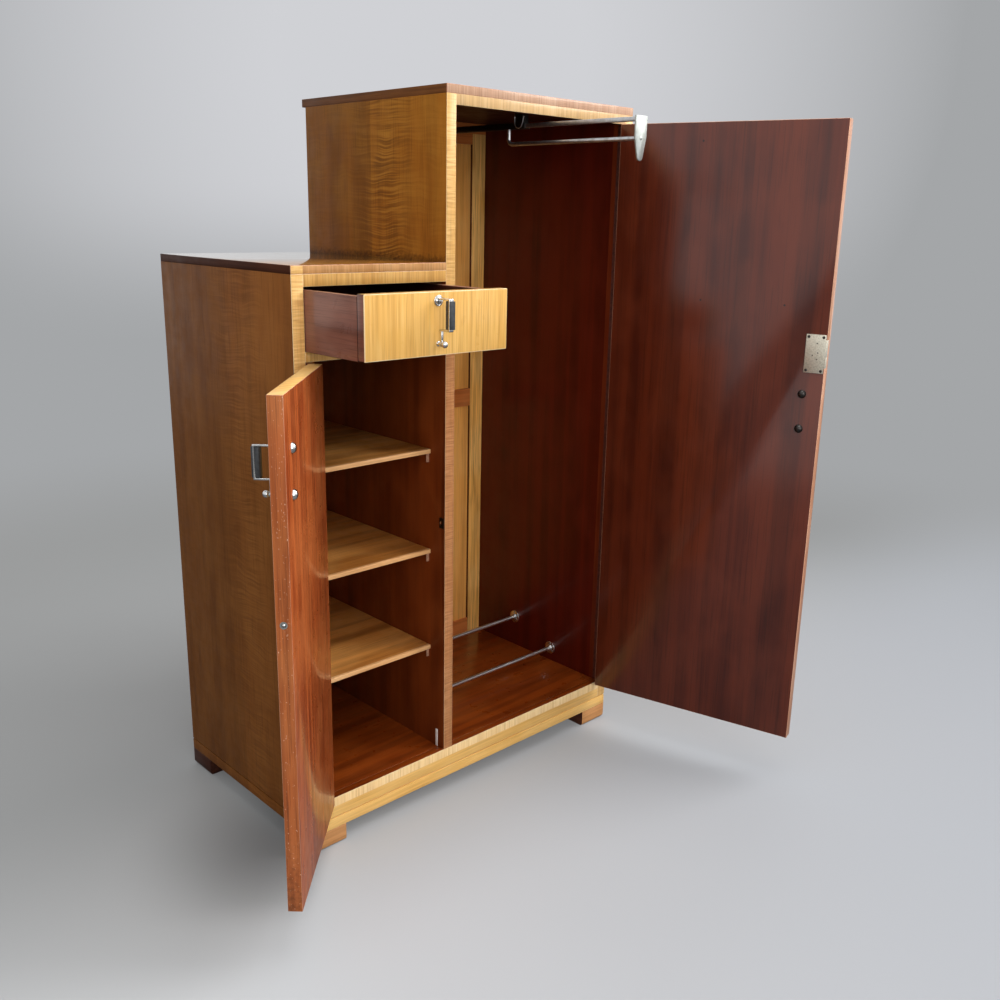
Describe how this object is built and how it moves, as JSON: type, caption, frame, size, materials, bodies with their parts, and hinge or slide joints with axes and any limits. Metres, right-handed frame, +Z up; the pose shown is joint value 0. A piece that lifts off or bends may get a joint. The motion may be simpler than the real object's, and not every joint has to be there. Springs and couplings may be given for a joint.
{
  "type": "chifforobe",
  "caption": "Stepped wardrobe: low side with drawer over a shelved cupboard, tall hanging side with pull-out rail and shoe rods, on block feet.",
  "frame": {"origin": "middle of the underside of the box round the whole part as it stands in the picture, doors, drawer and hanging rail open; the floor is z = 0", "axes": "+Z up, -Y out of the front of the case, +X to the right seen from the front"},
  "size_m": [1.2448, 1.0008, 1.527],
  "materials": {
    "side_veneer": "satinwood veneer in ripple figure, amber brown, french polished",
    "front_veneer": "yellow satinwood veneer with fiddleback stripe, french polished",
    "banding": "crossbanded mahogany veneer, french polished",
    "door_wood": "reddish mahogany, satin polished",
    "dark_wood": "dark stained mahogany",
    "back_wood": "light stained softwood and ply, thin varnish",
    "back_rail_wood": "stained softwood rails, thin varnish",
    "shelf_wood": "golden brown ply with a light lipping",
    "foot_wood": "solid mahogany block, polished",
    "drawer_wood": "dark stained drawer lining",
    "chrome": "bright chrome plate",
    "steel": "plain steel, dulled",
    "nickel": "pale nickel plate, worn",
    "brass": "drawn brass",
    "bakelite": "dark brown moulded phenolic"
  },
  "bodies": {
    "cabinet": {"side_left": "side_veneer", "side_right": "side_veneer", "divider": "side_veneer", "top_low": "banding", "top_tall": "banding", "rail_low": "front_veneer", "rail_tall": "front_veneer", "drawer_board": "front_veneer", "floor_board": "dark_wood", "base_rail": "front_veneer", "plinth_front": "front_veneer", "plinth_left": "side_veneer", "plinth_right": "side_veneer", "foot_front_left": "foot_wood", "foot_front_right": "foot_wood", "foot_back_left": "foot_wood", "foot_back_right": "foot_wood", "back_stile_left": "back_wood", "back_stile_right": "back_wood", "back_rail_top": "back_rail_wood", "back_rail_middle": "back_rail_wood", "back_rail_bottom": "back_rail_wood", "back_panel_upper": "back_wood", "back_panel_lower": "back_wood", "back_low": "dark_wood", "shelf_lower": "shelf_wood", "shelf_middle": "shelf_wood", "shelf_upper": "shelf_wood", "shelf_support_lower_left": "steel", "shelf_support_lower_right": "steel", "shelf_support_middle_left": "steel", "shelf_support_middle_right": "steel", "shelf_support_upper_left": "steel", "shelf_support_upper_right": "steel", "shoe_rail_front": "chrome", "shoe_rail_rear": "chrome", "hanger_track": "steel", "hinge_low_case": "brass", "hinge_tall_case": "brass"},
    "low_door": {"door_low": "door_wood", "hinge_low_door": "brass", "handle_door_low": "chrome", "grip_door_low": "bakelite", "catch_case": "brass"},
    "tall_door": {"door_tall": "door_wood", "hinge_tall_door": "brass", "handle_door_tall": "chrome", "grip_door_tall": "bakelite", "lock_case": "nickel"},
    "drawer": {"drawer_front": "front_veneer", "drawer_side_left": "drawer_wood", "drawer_side_right": "drawer_wood", "drawer_back": "drawer_wood", "drawer_bottom": "drawer_wood", "handle_drawer": "chrome", "grip_drawer": "bakelite"},
    "hanging_rail": {"hanger_slide": "steel", "hanger_end_plate": "chrome"},
    "bolt": {"lock_bolt": "steel"},
    "ball": {"catch_ball": "steel"}
  },
  "joints": [
    {"name": "low_door_hinge", "type": "hinge", "parent": "cabinet", "child": "low_door", "pos_m": [-0.39459, -0.00444, 0.56575], "axis": [0, 0, -1], "range_deg": [-134, 45]},
    {"name": "tall_door_hinge", "type": "hinge", "parent": "cabinet", "child": "tall_door", "pos_m": [0.46811, -0.00444, 0.8005], "axis": [0, 0, 1], "range_deg": [-104.8, 0]},
    {"name": "drawer_slide", "type": "slide", "parent": "cabinet", "child": "drawer", "axis": [0, -1, 0], "range_m": [-0.1795, 0.12]},
    {"name": "hanging_rail_slide", "type": "slide", "parent": "cabinet", "child": "hanging_rail", "axis": [0, -1, 0], "range_m": [-0.284, 0]},
    {"name": "lock_bolt_slide", "type": "slide", "parent": "tall_door", "child": "bolt", "axis": [0.2554, -0.9668, 0], "range_m": [0, 0.009]},
    {"name": "catch_ball_slide", "type": "slide", "parent": "low_door", "child": "ball", "axis": [0.6947, 0.7193, 0], "range_m": [0, 0.002], "stiffness_N_per_m": 1500, "springref_m": -0.001}
  ],
  "couplings": [
    {"joint": "hanging_rail_slide", "follows": "tall_door_hinge", "m_per_rad": 0.15526}
  ]
}
